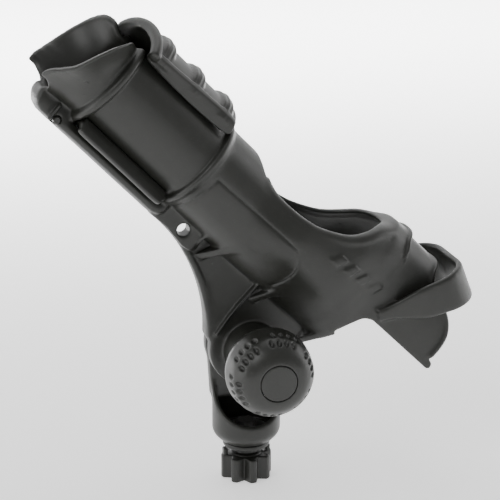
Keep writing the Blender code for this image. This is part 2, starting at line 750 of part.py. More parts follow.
def build_star_post(material):
    """The star that plugs into a deck socket, with its neck, shoulder, spigot and two small prongs."""
    outline = []
    for i in range(STAR_POINTS):
        middle = STAR_TURN + 2.0 * math.pi * (i + 0.5) / STAR_POINTS
        for offset, radius in ((-4.5, STAR_RADIUS), (4.5, STAR_RADIUS), (180.0 / STAR_POINTS, STAR_VALLEY)):
            angle = middle + math.radians(offset)
            outline.append((radius * math.sin(angle), -radius * math.cos(angle)))
    inset = 1.0 - 1.0 * MM / STAR_RADIUS
    levels = [(0.0, inset), (1.0 * MM, 1.0), (STAR_HEIGHT - 1.0 * MM, 1.0), (STAR_HEIGHT, inset)]
    post = loft("star_post", [[Vector((x * k, y * k, z)) for x, y in outline] for z, k in levels])
    neck = disc("neck", NECK_RADIUS, STAR_HEIGHT - 1 * MM, SHOULDER_Z[0] + 1 * MM, 32, along="Z")
    foot_radius = NECK_RADIUS + 2.2 * MM
    foot = disc("neck_foot", foot_radius, STAR_HEIGHT - 1.5 * MM, STAR_HEIGHT + 0.8 * MM, 28, along="Z")
    shoulder = disc("shoulder", SHOULDER_RADIUS, SHOULDER_Z[0], SHOULDER_Z[1], 32, along="Z")
    spigot = disc("spigot", SPIGOT_RADIUS, SHOULDER_Z[0] + 1 * MM, CUP_FLOOR + 0.3 * MM, 32, along="Z")
    unite(post, neck, foot, shoulder, spigot)
    for side in (-1, 1):
        middle = side * 12.4 * MM
        low = (middle - 1.0 * MM, -1.4 * MM, 8 * MM)
        unite(post, box("prong", low, (middle + 1.0 * MM, 1.4 * MM, 17.4 * MM)))
    cut(post, disc("screw_hole", 2.5 * MM, 9 * MM, 40 * MM, 20, along="Z"))
    return finish(post, material)


def build_post_fastener(material):
    """The washer and the hex-headed screw that hold the post to the cup's floor."""
    seat = CUP_FLOOR + 0.6 * MM
    finish(washer("post_washer", 2.8 * MM, 11.5 * MM, seat, seat + 1.5 * MM, 32, along="Z"), material)
    top = seat + 1.8 * MM
    screw = disc("post_screw", 2.2 * MM, 11 * MM, top + 1 * MM, 20, along="Z")
    unite(screw, disc("screw_head", 5.6 * MM, top, top + 3.6 * MM, 6, along="Z"))
    finish(screw, material)


# ---------------------------------------------------------------- hinge hardware

def build_bolt(parent, material):
    """The pivot bolt, its hex head sunk in the far ear, and the washer under the head."""
    bolt = disc("pivot_bolt", BOLT_RADIUS, -55.5 * MM, 9 * MM, 24)
    unite(bolt, disc("bolt_head", HEX_RADIUS, 8.1 * MM, 13.2 * MM, 6))
    finish(bolt, material, parent)
    finish(washer("head_washer", 4.4 * MM, 7.0 * MM, 6.9 * MM, 7.8 * MM, 32), material, parent)


def build_release_spring(parent, material):
    """A short compression coil round the bolt, between hub and ear."""
    turns, wire, radius = 4.0, 0.55 * MM, 7.2 * MM
    low, high = -7.2 * MM, 3.2 * MM
    steps = int(turns * 16)
    rings = []
    for i in range(steps + 1):
        share = i / steps
        angle = 2.0 * math.pi * turns * share
        spoke = Vector((math.cos(angle), 0.0, math.sin(angle)))
        middle = spoke * radius + Vector((0.0, low + (high - low) * share, 0.0))
        rings.append([
            middle + (spoke * math.cos(turn) + Vector((0.0, 1.0, 0.0)) * math.sin(turn)) * wire
            for turn in (2.0 * math.pi * k / 6 for k in range(6))
        ])
    return finish(loft("release_spring", rings), material, parent)


def build_knob(parent, carrier, knob_material, cap_material, metal):
    """The domed knob with its nut, cap and grip dimples, and the thrust washer behind it."""
    thrust = washer("thrust_washer", BOLT_HOLE, 13.0 * MM, KNOB_BACK_Y + GAP, BOSS_Y - GAP, 40)
    finish(thrust, metal, carrier)
    profile = [
        (BOLT_HOLE, KNOB_BACK_Y),
        (BOLT_HOLE, KNOB_FACE_Y + CAP_DEPTH),
        (CAP_RADIUS + GAP, KNOB_FACE_Y + CAP_DEPTH),
        (CAP_RADIUS + GAP, KNOB_FACE_Y),
        (13.6 * MM, KNOB_FACE_Y + 1.0 * MM),
        (17.0 * MM, KNOB_FACE_Y + 3.0 * MM),
        (20.0 * MM, KNOB_FACE_Y + 6.4 * MM),
        (22.2 * MM, KNOB_FACE_Y + 10.8 * MM),
        (23.3 * MM, KNOB_RIM_Y + 1.0 * MM),
        (KNOB_RADIUS, KNOB_RIM_Y + 3.5 * MM),
        (22.8 * MM, KNOB_RIM_Y + 7.0 * MM),
        (20.0 * MM, KNOB_RIM_Y + 12.0 * MM),
        (17.0 * MM, KNOB_BACK_Y),
    ]
    knob = turned("knob_body", profile, 48, along="Y")
    cut(knob, disc("nut_pocket", HEX_RADIUS + 0.3 * MM, KNOB_FACE_Y - 5 * MM, NUT_SEAT_Y, 6))
    finish(knob, knob_material, parent)
    nut = disc("knob_nut", HEX_RADIUS, NUT_SEAT_Y - 6.8 * MM, NUT_SEAT_Y - 0.3 * MM, 6)
    cut(nut, disc("nut_bore", BOLT_RADIUS + 0.3 * MM, -80 * MM, 0.0, 24))
    finish(nut, metal, parent)
    cap = disc("knob_cap", CAP_RADIUS, KNOB_FACE_Y, KNOB_FACE_Y + CAP_DEPTH - 0.4 * MM, 40)
    finish(cap, cap_material, parent)


# ---------------------------------------------------------------- assembly

def make_empty(name, location, rotation=(0.0, 0.0, 0.0), parent=None):
    empty = bpy.data.objects.new(name, None)
    empty.location = location
    empty.rotation_euler = rotation
    empty.parent = parent
    bpy.context.collection.objects.link(empty)
    return empty


def main():
    clear_scene()
    charcoal = make_material("moulded_charcoal", (0.035, 0.037, 0.036), 0.55)
    collar_black = make_material("collar_charcoal", (0.033, 0.035, 0.034), 0.5)
    knob_black = make_material("knob_charcoal", (0.03, 0.031, 0.031), 0.42)
    post_black = make_material("post_charcoal", (0.028, 0.029, 0.029), 0.5)
    acetal = make_material("white_acetal", (0.72, 0.71, 0.67), 0.4)
    steel = make_material("stainless_steel", (0.62, 0.62, 0.6), 0.3, 1.0)

    build_base_yoke(charcoal)
    build_star_post(post_black)
    build_post_fastener(steel)

    pivot = make_empty("pivot", (0.0, 0.0, PIVOT_Z))
    tilt = make_empty("cradle_tilt", (0.0, 0.0, 0.0), (0.0, TILT, 0.0), pivot)
    collar_turn = make_empty("collar_turn", (0.0, 0.0, AXIS_W), parent=tilt)
    build_cradle(tilt, charcoal)
    build_keel_pin(tilt, charcoal)
    build_pivot_bush(tilt, acetal)
    build_collar(collar_turn, collar_black)
    build_tooth_rings(tilt, pivot, acetal)
    build_bolt(pivot, steel)
    build_release_spring(pivot, steel)
    build_knob(pivot, pivot, knob_black, knob_black, steel)


main()
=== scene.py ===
"""Looks of the tilting rod holder: moulded pieces as smooth solids, their materials, light and camera.

Each moulded piece is worked out as a distance field on a grid, in millimetres, and turned into a mesh.
The cradle and its collar are drawn in the cradle's frame: x runs along the barrel from the mouth to the
rear, z runs square to the barrel, away from the base, and the tilt pivot is at the origin. Angles round
the barrel, called turn, are 0 at the top and grow towards the knob side.
"""

import json
import math

import bpy
import numpy as np
import openvdb
from mathutils import Matrix, Vector


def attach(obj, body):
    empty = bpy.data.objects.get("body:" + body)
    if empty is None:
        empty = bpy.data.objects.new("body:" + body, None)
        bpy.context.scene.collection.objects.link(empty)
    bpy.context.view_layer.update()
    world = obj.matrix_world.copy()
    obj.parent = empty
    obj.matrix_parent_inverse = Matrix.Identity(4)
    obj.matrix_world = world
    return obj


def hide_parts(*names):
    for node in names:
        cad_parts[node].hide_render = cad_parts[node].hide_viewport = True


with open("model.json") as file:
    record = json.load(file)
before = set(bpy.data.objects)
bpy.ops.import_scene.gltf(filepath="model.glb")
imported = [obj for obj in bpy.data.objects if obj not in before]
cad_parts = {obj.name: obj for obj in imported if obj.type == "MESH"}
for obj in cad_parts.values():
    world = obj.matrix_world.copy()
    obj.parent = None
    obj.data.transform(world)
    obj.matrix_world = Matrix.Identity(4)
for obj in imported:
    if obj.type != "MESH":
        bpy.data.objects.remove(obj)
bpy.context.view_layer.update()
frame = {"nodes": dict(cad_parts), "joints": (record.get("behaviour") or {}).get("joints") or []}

MM = 0.001
COARSE = 1.0
FAR_AWAY = 9.0
SURFACE_BAND = 4.0
MERGE = 0.02

# Where the hinge is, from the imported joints
JOINTS = {joint["name"]: joint for joint in frame["joints"]}
PIVOT = Vector(JOINTS["cradle_tilt"]["pos_m"])
BARREL_AXIS = Vector(JOINTS["collar_turn"]["axis"])
TILT = math.atan2(-BARREL_AXIS.z, BARREL_AXIS.x)
CRADLE_TO_WORLD = Matrix.Translation(PIVOT) @ Matrix.Rotation(TILT, 4, "Y") @ Matrix.Scale(MM, 4)
KNOB_TO_WORLD = Matrix.Translation(PIVOT) @ Matrix.Scale(MM, 4)
BASE_TO_WORLD = Matrix.Scale(MM, 4)
PIVOT_Z = PIVOT.z / MM

# Barrel and tube, in millimetres
AXIS_Z = 52.4
TUBE_RADIUS = 26.5
TUBE_WALL = 2.8
TUBE_BULGE = 7.0
HOOD_RISE = 52.5
BARREL_RADIUS = 25.8
BARREL_WALL = 2.4
LIP_START = -163.4
LIP_CURVE = 1.5
LIP_TURN = (35.0, 42.0, 50.0, 58.0, 66.0, 75.0, 85.0, 102.0, 114.0, 132.0, 180.0)
LIP_RIM_X = (-167.0, -169.4, -172.0, -174.8, -178.0, -180.8, -183.4, -186.6, -189.4, -192.4, -194.0)
LIP_FLARE = (1.5, 5.0, 9.2, 12.0, 13.2, 13.2, 12.4, 9.8, 6.4, 3.4, 2.4)
FAR_RIM_X = (-172.6, -175.6, -177.8, -179.2, -180.4, -181.8, -183.6, -187.0, -189.6, -192.4, -194.0)
FAR_FLARE = (5.2, 8.2, 10.8, 12.4, 13.2, 13.3, 12.6, 9.8, 6.4, 3.4, 2.4)
SLOT_HALF = math.radians(35.0)
SLOT_END_X = -101.6
FRONT_RING_X = (-164.8, -159.6)
REAR_RING_X = (-97.6, -92.6)
RING_RADIUS = 29.2
TETHER_HOLE = 3.5
TETHER_AT = (-75.0, 22.2)
PIN_AT = (-167.8, 19.6)
PIN_HOLE = 2.4

# Collar
COLLAR_X = (-159.0, -99.0)
COLLAR_INNER = 26.4
COLLAR_OUTER = 28.9
COLLAR_UPPER_END = math.radians(46.0)
COLLAR_LOWER_END = math.radians(143.0)
HOOD_END = math.radians(-59.0)
HOOD_INNER = 31.2
HOOD_OUTER = 34.3
HOOD_FRONT_NEAR_X = -159.8
HOOD_FRONT_FAR_X = -169.2
RIB_RADIUS = 37.4
RIB_CENTRES_X = (-150.2, -128.2, -106.8)
WING_RADIUS = 35.1
WING_SPAN = math.radians(6.0)

# Hinge and knob
HUB_RADIUS = 22.4
BOSS_RADIUS = 15.0
BOSS_Y = -24.2
BUSH_BORE = 6.3
SPRING_BORE = 8.8
BOLT_HOLE = 4.3
KNOB_BACK_Y = -26.5
KNOB_RIM_Y = -46.3
KNOB_FACE_Y = -63.9
CAP_RADIUS = 9.7
HEAD_POCKET = 7.9
NUT_POCKET = 6.8


# ---------------------------------------------------------------- distance fields

class Grid:
    """A block of sample points with a distance at each; negative is inside."""

    def __init__(self, low, high, step):
        self.low = np.array(low, float)
        self.step = step
        self.counts = [int(math.ceil((b - a) / step)) + 1 for a, b in zip(low, high)]
        axes = [self.low[i] + step * np.arange(self.counts[i]) for i in range(3)]
        self.x = axes[0].astype(np.float32)[:, None, None]
        self.y = axes[1].astype(np.float32)[None, :, None]
        self.z = axes[2].astype(np.float32)[None, None, :]
        self.field = np.full(self.counts, FAR_AWAY, np.float32)

    def window(self, low, high):
        """Part of the grid: its slices, and x, y and z there."""
        cut = []
        for i in range(3):
            start = max(int((low[i] - self.low[i]) / self.step), 0)
            end = min(int((high[i] - self.low[i]) / self.step) + 2, self.counts[i])
            cut.append(slice(start, end))
        return tuple(cut), self.x[cut[0]], self.y[:, cut[1]], self.z[:, :, cut[2]]

    def add(self, cut, shape, soft=1.0):
        self.field[cut] = join(self.field[cut], shape, soft)

    def remove(self, cut, shape, soft=0.6):
        self.field[cut] = common(self.field[cut], -shape, soft)

    def soften(self):
        """A light blur, which gives every edge a small moulded radius."""
        for axis in range(3):
            before = np.roll(self.field, 1, axis)
            after = np.roll(self.field, -1, axis)
            self.field = 0.25 * before + 0.5 * self.field + 0.25 * after


def join(a, b, soft):
    """Both shapes as one, with a fillet where they meet."""
    share = np.clip(0.5 + 0.5 * (b - a) / soft, 0.0, 1.0)
    return b + (a - b) * share - soft * share * (1.0 - share)


def common(a, b, soft):
    """Where both shapes are, with a rounded edge where they cross."""
    share = np.clip(0.5 - 0.5 * (b - a) / soft, 0.0, 1.0)
    return b + (a - b) * share + soft * share * (1.0 - share)


def true_distance(shape, step):
    """Scales a field so that it grows by about one millimetre a millimetre."""
    slope = np.zeros_like(shape)
    for axis in range(3):
        slope += np.gradient(shape, step, axis=axis) ** 2
    return shape / np.sqrt(np.maximum(slope, 0.04))


def ease(low, high, value):
    share = np.clip((value - low) / (high - low), 0.0, 1.0)
    return share * share * (3.0 - 2.0 * share)


def smooth_line(points, steps=4, closed=False):
    """A line of points drawn through the given ones without corners."""
    count = len(points)
    made = []
    for i in range(count if closed else count - 1):
        if closed:
            a, b, c, d = (np.array(points[(i + k) % count], float) for k in (-1, 0, 1, 2))
        else:
            a, b, c, d = (np.array(points[min(max(i + k, 0), count - 1)], float) for k in (-1, 0, 1, 2))
        for j in range(steps):
            t = j / steps
            made.append(tuple(0.5 * (2 * b + (c - a) * t + (2 * a - 5 * b + 4 * c - d) * t ** 2
                                     + (3 * b - a - 3 * c + d) * t ** 3)))
    if not closed:
        made.append(tuple(points[-1]))
    return made


def line_distance(points, a, b, closed=False):
    """How far each place (a, b) is from a line of points."""
    nearest = None
    ends = points[1:] + points[:1] if closed else points[1:]
    for (p, q), (r, s) in zip(points, ends):
        run, rise = r - p, s - q
        share = np.clip(((a - p) * run + (b - q) * rise) / max(run * run + rise * rise, 1e-9), 0.0, 1.0)
        gap = (a - p - share * run) ** 2 + (b - q - share * rise) ** 2
        nearest = gap if nearest is None else np.minimum(nearest, gap)
    return np.sqrt(nearest)


def area_distance(points, a, b):
    """Distance from an outline: negative inside it."""
    inside = np.zeros(np.broadcast(a, b).shape, bool)
    for (p, q), (r, s) in zip(points, points[1:] + points[:1]):
        if q == s:
            continue
        crosses = (b >= min(q, s)) & (b < max(q, s)) & (a < p + (b - q) * (r - p) / (s - q))
        inside ^= crosses
    gap = line_distance(points, a, b, closed=True)
    return np.where(inside, -gap, gap).astype(np.float32)


def turned_area(points, x, r):
    """Distance from an outline of (x, radius) points turned about the barrel's axis."""
    fine = 0.2
    radii = np.arange(0.0, float(r.max()) + 1.0, fine)
    table = area_distance(points, x[:, 0, 0][:, None], radii[None, :])
    place = r / fine
    lower = np.minimum(place.astype(np.int32), len(radii) - 2)
    share = place - lower
    rows = np.arange(table.shape[0])[:, None, None]
    return table[rows, lower] * (1.0 - share) + table[rows, lower + 1] * share


def plate(flat, y, low, high, soft=0.8):
    """A flat shape given thickness across y."""
    return common(flat, np.abs(y - (low + high) / 2.0) - (high - low) / 2.0, soft)


def rod(a, b, centre, radius):
    """A round bar whose axis is square to a and b."""
    return np.sqrt((a - centre[0]) ** 2 + (b - centre[1]) ** 2) - radius


def sector_gap(r, turn, middle, half):
    """Distance from a wedge about the barrel's axis: negative inside it."""
    away = np.abs(np.mod(turn - middle + math.pi, 2.0 * math.pi) - math.pi)
    return r * np.sin(np.clip(away - half, -math.pi / 2.0, math.pi / 2.0))


def hexagon(a, b, reach, first):
    """Distance from a six-sided outline whose flats stand at reach, the first at the angle given."""
    six = None
    for k in range(6):
        turn = math.radians(first + 60 * k)
        face = a * math.cos(turn) + b * math.sin(turn) - reach
        six = face if six is None else np.maximum(six, face)
    return six


def surface(name, grid, to_world):
    """The grid's zero surface as a smooth object in the row frame."""
    grid.soften()
    cells = openvdb.FloatGrid(SURFACE_BAND)
    cells.copyFromArray(np.clip(grid.field, -SURFACE_BAND, SURFACE_BAND).astype(np.float32))
    points, triangles, quads = cells.convertToPolygons(0.0, MERGE)
    points = points.astype(float) * grid.step + grid.low
    faces = [tuple(int(i) for i in face[::-1]) for face in quads]
    faces += [tuple(int(i) for i in face[::-1]) for face in triangles]
    mesh = bpy.data.meshes.new(name)
    mesh.from_pydata(points.tolist(), [], faces)
    mesh.transform(to_world)
    mesh.update()
    mesh.shade_smooth()
    made = bpy.data.objects.new(name, mesh)
    bpy.context.scene.collection.objects.link(made)
    return made


# ---------------------------------------------------------------- cradle

def around_barrel(x, y, z):
    """Radius from the barrel's axis, and the angle round it."""
    up = z - AXIS_Z
    return np.sqrt(y * y + up * up), np.arctan2(-y, up)


# The block of the grid that holds the neck, the trough and the hood
TUBE_BLOCK = ((-95.5, -37, 20), (84, 37, 112))

# Side outlines of the hood's rear edge and of the oval opening
HOOD_BACK = smooth_line([
    (74.4, 65), (74.2, 72), (72.4, 79), (67, 85), (58.5, 89), (51.2, 91.8), (46.4, 95.4), (44.8, 99.6),
    (45.8, 104), (46.8, 110)])
OPENING = smooth_line([
    (12.8, 108), (11.8, 103.5), (9.6, 99.8), (6.2, 96.8), (3, 94), (-1.6, 88), (-7.4, 81.8), (-14, 77.2),
    (-26, 72), (-35, 69.8), (-44, 68.8), (-52, 68.7), (-58, 69.6), (-64, 72.2), (-69, 75.8), (-74, 80.5)])


def tube_outline():
    """Side view of the neck, trough and hood: oval opening above, open bottom behind."""
    trough_end = smooth_line([
        (24.6, 26), (23.2, 35.4), (24.5, 43.8), (26.4, 49.4), (29.0, 54.0), (33.5, 56.6)])
    fin = [(78, 57.6), (79.8, 59.2), (78.7, 62.0), (75, 63)]
    return [(-94, 12), (24.8, 12)] + trough_end + fin + HOOD_BACK + [(46.8, 115), (12.8, 115)] + OPENING + [
        (-79, 115), (-94, 115)]


def tube_shape(step, x, y, z):
    """Signed distance of the tube's outside: round at the neck, wide at the opening, a tall arch behind."""
    _, turn = around_barrel(x, y, z)
    level = np.cos(turn)
    arch = ease(-62, 22, x)
    above = ease(-0.06, 0.06, level)
    bulge = ease(-64, -30, x) * (1.0 - ease(-4, 30, x)) * ease(-0.8, 0.25, level)
    side = TUBE_RADIUS + TUBE_BULGE * bulge
    rise = TUBE_RADIUS + (HOOD_RISE - TUBE_RADIUS) * arch * above
    power = 2.0 + 0.6 * arch * above
    reach = (np.abs(y) / side) ** power + (np.abs(z - AXIS_Z) / rise) ** power
    return true_distance(TUBE_RADIUS * (reach ** (1.0 / power) - 1.0), step)


def add_tube(grid):
    """The shell of the neck, trough and hood; the outside's distance is handed back for later pieces."""
    cut, x, y, z = grid.window(*TUBE_BLOCK)
    outside = tube_shape(grid.step, x, y, z)
    shell = common(outside, -(outside + TUBE_WALL), 1.0)
    ends = area_distance(tube_outline(), x, z)
    grid.add(cut, common(shell, ends, 1.6), 0.1)
    return outside


def add_barrel(grid):
    """The slotted barrel, its trumpet lips, the rings, the keel and the wide notch below the lips."""
    cut, x, y, z = grid.window((-197, -41, 8), (-88, 41, 92))
    r, turn = around_barrel(x, y, z)
    degrees = np.degrees(np.abs(turn))
    near_lip = np.array(smooth_line(list(zip(LIP_TURN, LIP_RIM_X, LIP_FLARE)))).T
    far_lip = np.array(smooth_line(list(zip(LIP_TURN, FAR_RIM_X, FAR_FLARE)))).T
    rim, flare = (np.where(
        turn < 0.0, np.interp(degrees, far_lip[0], far_lip[k]), np.interp(degrees, near_lip[0], near_lip[k])
    ).astype(np.float32) for k in (1, 2))
    share = np.clip((LIP_START - x) / (LIP_START - rim), 0.0, 1.6)
    outside = true_distance(r - BARREL_RADIUS - flare * share ** LIP_CURVE, grid.step)
    shell = common(outside, -(outside + BARREL_WALL + 0.8 * np.clip(share, 0.0, 1.0)), 0.6)
    shell = common(shell, true_distance(rim - x, grid.step), 0.6)
    shell = common(shell, x - REAR_RING_X[1] + 1.0, 0.5)
    notch = smooth_line([
        (-199, 19.4), (-190, 18.4), (-185.8, 15.8), (-183.2, 12.2), (-182.2, 6.0), (-182.0, 0.0)])
    notch = notch + [(p, -q) for p, q in reversed(notch[:-1])]
    notch_gap = common(area_distance(notch, x, y), z - 40.0, 0.5)
    shell = common(shell, -notch_gap, 0.8)
    slot_side = sector_gap(r, turn, 0.0, SLOT_HALF)
    shell = common(shell, -common(slot_side, x - SLOT_END_X, 2.0), 0.8)
    bead = turned_area(smooth_line([
        (FRONT_RING_X[0], 25.2), (FRONT_RING_X[0] + 0.2, 27.4), (FRONT_RING_X[0] + 1.6, RING_RADIUS - 0.1),
        (-161.8, RING_RADIUS + 0.2), (FRONT_RING_X[1] - 0.5, 28.6), (FRONT_RING_X[1], 27.0),
        (FRONT_RING_X[1], 25.2), (-162.2, 24.2)], 3, True), x, r)
    shell = join(shell, common(bead, -slot_side, 1.6), 1.2)
    rear = turned_area(smooth_line([
        (REAR_RING_X[0], 25.0), (REAR_RING_X[0] + 0.1, 27.2), (REAR_RING_X[0] + 1.2, 28.6),
        (REAR_RING_X[0] + 2.6, 28.6), (REAR_RING_X[1] - 1.2, 27.9), (REAR_RING_X[1] + 0.2, 26.9),
        (REAR_RING_X[1] + 1.4, 26.2), (REAR_RING_X[1], 24.8)], 3, True), x, r)
    shell = join(shell, rear, 0.5)
    keel = [
        (-170, 23.6), (-180.5, 24.2), (-183.4, 25.2), (-184.6, 27.2), (-184.2, 30.2), (-182.9, 32.8),
        (-180.7, 35.0), (-177.6, 36.1), (-172, 36.3), (-150, 36.1), (-120, 36.1), (-97, 36.0),
        (-92.6, 34.8), (-90.6, 31.5),
        (-90.6, 25.4), (-97.2, 25.0), (-97.4, 29.8), (-104, 29.6), (-130, 29.6), (-157.0, 29.6),
        (-160.0, 29.4),
        (-160.6, 24.6)]
    keel_side = sector_gap(r, turn, math.pi, math.radians(21.0))
    shell = join(shell, common(turned_area(keel, x, r), keel_side, 3.2), 1.4)
    hollow = rod(x, z, (-178.4, 21.6), 4.6)
    hollow = common(hollow, x + 173.0, 0.6)
    hollow = common(hollow, 11.6 - np.abs(y), 0.6)
    shell = common(shell, -hollow, 0.8)
    ridge = line_distance([(-171.8, 17.4), (-172.2, 26.4)], x, z) - 0.75
    ridge = common(ridge, np.abs(np.abs(y) - 11.6) - 2.3, 0.5)
    shell = join(shell, np.broadcast_to(ridge, shell.shape), 0.5)
    grid.add(cut, shell, 0.8)


# Each gusset: foot and head (x, z), its reach across y at the foot and at the head, half its thickness
GUSSETS = (
    ((-62.6, 17.2), (-65.3, 28.7), 4.2, 11.6, 0.9),
    ((-57.6, 16.2), (-49.3, 37.0), 4.4, 21.5, 2.3),
    ((-19.6, 18.8), (-12.3, 40.8), 9.6, 22.6, 2.0),
    ((17.6, 20.6), (22.6, 35.6), 9.6, 20.5, 2.2),
)


def web_front():
    """Front edge of the web, from the rear ring down to the hub."""
    return smooth_line([
        (-94, 17), (-83, 17.2), (-69.5, 15.4), (-56, 11.4), (-43, 5.4), (-31, -2.6), (-22, -11)], 3)


def add_web(grid, tube):
    """The plate between tube and hub, its rounded border, the raised hub plate, gussets, hub and boss."""
    cut, x, y, z = grid.window((-97, -27, -26), (30, 21, 42))
    front = web_front()
    round_hub = [(19 * math.cos(a), 19 * math.sin(a)) for a in np.radians(np.linspace(231, 353, 12))]
    flat = area_distance(front + round_hub + [(19.5, 30), (-93.4, 30)], x, z)
    near_face = 3.6 + 4.4 * np.clip((x + 44.0) / 21.0, 0.0, 1.0)
    body = common(flat, np.maximum(-y - near_face, y - 3.6), 0.8)
    swell = 2.3 + 1.5 * ease(-60, -20, x)
    flange = common(line_distance(front, x, z) - swell, flat - 0.3, 0.8)
    body = join(body, plate(flange, y, -5.6, 5.4, 2.4), 2.2)
    tether_pad = area_distance(
        [(-95, 16.8), (-83, 17.2), (-69.5, 15.4), (-63.4, 16.4), (-66.0, 30), (-95, 30)], x, z)
    body = join(body, plate(tether_pad, y, -7.6, -1.0, 1.0), 0.6)
    raised = area_distance([(-20.4, -8), (-22.4, 3.9), (-23.6, 15.0), (-23.8, 31), (15.6, 31), (18, 8)], x, z)
    body = join(body, plate(raised, y, -8.9, -1.2, 0.8), 0.8)
    ridge = line_distance([(-20.6, -7), (-22.4, 3.9), (-23.4, 15.0), (-23.6, 27.0)], x, z) - 0.75
    body = join(body, plate(ridge, y, -11.2, -3, 0.9), 0.4)
    ridge = line_distance([(16.9, 18.6), (15.5, 30.5)], x, z) - 0.9
    body = join(body, plate(ridge, y, -10.6, -3, 0.7), 0.4)
    body = join(body, plate(rod(x, z, (0, 0), HUB_RADIUS), y, -8.6, -0.8, 1.2), 0.8)
    boss = plate(rod(x, z, (0, 0), BOSS_RADIUS), y, BOSS_Y, -6.0, 0.8)
    body = join(body, boss, 1.4)
    for foot, head, start, reach, half in GUSSETS:
        for side in (-1, 1):
            low = start if side < 0 else min(start, 3.6)
            slope = (reach - low) / (head[1] - foot[1])
            face = (side * y - low - slope * (z - foot[1])) / math.hypot(1.0, slope)
            rib = common(common(face, foot[1] - z, 0.6), z - head[1] - 2.0, 0.4)
            lean = (head[0] - foot[0]) / (head[1] - foot[1])
            rib = common(rib, np.abs(x - foot[0] - lean * (z - foot[1])) / math.hypot(1.0, lean) - half, 0.7)
            body = join(body, common(rib, -side * y, 0.2), 0.7)
    cut_tube, _, _, _ = grid.window(*TUBE_BLOCK)
    bore = np.full(grid.counts, -FAR_AWAY, np.float32)
    bore[cut_tube] = -(tube + TUBE_WALL)
    body = common(body, bore[cut], 0.6)
    grid.add(cut, body, 1.6)
    grid.remove(cut, plate(rod(x, z, (0, 0), HUB_RADIUS + 0.4), y, -0.8, 12.0, 0.2))


def add_loop(grid):
    """The flat strap behind the hood, its band widening from each root."""
    across = np.array((0.92, -0.39)) / math.hypot(0.92, 0.39)
    start, rear = np.array((34.0, 62.0)), np.array((61.0, 108.5))
    ahead = rear - start
    length = float(np.hypot(*ahead))
    ahead = ahead / length
    cut, x, y, z = grid.window((22, -36, 50), (84, 36, 118))
    skew = ahead[0] * across[1] - ahead[1] * across[0]
    along = ((x - start[0]) * across[1] - (z - start[1]) * across[0]) / skew
    over = ((z - start[1]) * ahead[0] - (x - start[0]) * ahead[1]) / skew
    bend, straight, half = 19.0, 0.65, 31.5
    arm = []
    for share in np.linspace(0.0, 1.0, 9):
        side = half - 4.2 * (1.0 - float(ease(0.0, 0.8, share))) - 1.0 * float(ease(0.6, 1.0, share))
        arm.append((share * straight * length, -side))
    for turn in np.radians(np.linspace(11, 90, 8)):
        arm.append((straight * length + bend * math.sin(turn), -(half - 1.0 - bend * (1.0 - math.cos(turn)))))
    route = arm + [(s, -q) for s, q in reversed(arm)]
    steps = np.arange(-14.0, length + 14.0, 0.25)
    table = line_distance(route, steps[:, None], y[0, :, 0][None, :])
    place = np.clip((along - steps[0]) / 0.25, 0, len(steps) - 2)
    lower = place.astype(np.int32)
    columns = np.broadcast_to(np.arange(table.shape[1])[None, :, None], np.broadcast(lower, y).shape)
    lower = np.broadcast_to(lower, columns.shape)
    part = place - lower
    gap = table[lower, columns] * (1.0 - part) + table[lower + 1, columns] * part
    tall = 7.5 + 11.6 * ease(0.0, 0.55, along / length) + 2.0 * ease(0.5, 0.95, along / length)
    deeper = 6.0 * ease(4.0, 22.0, y)
    band = common(gap - 1.9, np.maximum(over - deeper, -over) - tall / 2.0, 2.2)
    grid.add(cut, band, 2.2)


def add_hood_details(grid, tube):
    """The blade across the hood, the thick edges, the side panel's seam and the generic motif."""
    cut, x, y, z = grid.window(*TUBE_BLOCK)
    _, turn = around_barrel(x, y, z)
    degrees = np.degrees(np.abs(turn))
    blade_at = 22.4 - 0.012 * degrees ** 1.7 + 5.2 * ease(17, 31, degrees)
    height = 2.9 * (1.0 - ease(22, 33, degrees))
    blade = common(np.abs(x - blade_at) - 0.85, tube - height, 0.7)
    blade = common(blade, -tube - 1.5, 0.3)
    grid.add(cut, common(blade, degrees - 32.0, 0.6), 0.9)
    shoulder = common(np.abs(x - 16.4) - 5.6, tube - 1.0 * (1.0 - ease(12, 42, degrees)), 2.6)
    grid.add(cut, common(shoulder, -tube - 1.5, 0.3), 1.6)
    edge = line_distance(HOOD_BACK, x, z)
    lip = common(np.sqrt(edge ** 2 + (tube + 0.8) ** 2) - 1.7, 62.5 - z, 0.5)
    grid.add(cut, lip, 1.2)
    edge = line_distance(OPENING, x, z)
    roll = 1.5 + 1.2 * ease(-40, 4, x)
    lip = common(np.sqrt(edge ** 2 + (tube + 1.5) ** 2) - roll, -64 - x, 0.5)
    grid.add(cut, lip, 1.4)
    seam = smooth_line([(-89.4, 27.5), (-88.6, 40), (-88.2, 54.1)], 2) + smooth_line([
        (-87.4, 54.2), (-60, 55.2), (-34, 56.2), (-28, 54.6), (-24.6, 51.0), (-21.6, 45.5),
        (-20.6, 38.8), (-21, 33)])
    groove = common(line_distance(seam, x, z) - 0.5, -(tube + 0.9), 0.2)
    grid.remove(cut, common(groove, y + 8.0, 0.2), 0.25)
    motif = None
    for i in range(4):
        middle = -9.0 + 9.6 * i
        slant = (x - middle) - 0.55 * (z - 68.4 - 0.09 * middle)
        bar = common(np.abs(slant) - 2.7, np.abs(z - 68.4 - 0.09 * middle) - 3.2, 0.5)
        motif = bar if motif is None else np.minimum(motif, bar)
    raised = common(common(motif, tube - 0.9, 0.3), y + 8.0, 0.3)
    grid.add(cut, common(raised, -tube - 1.2, 0.3), 0.35)


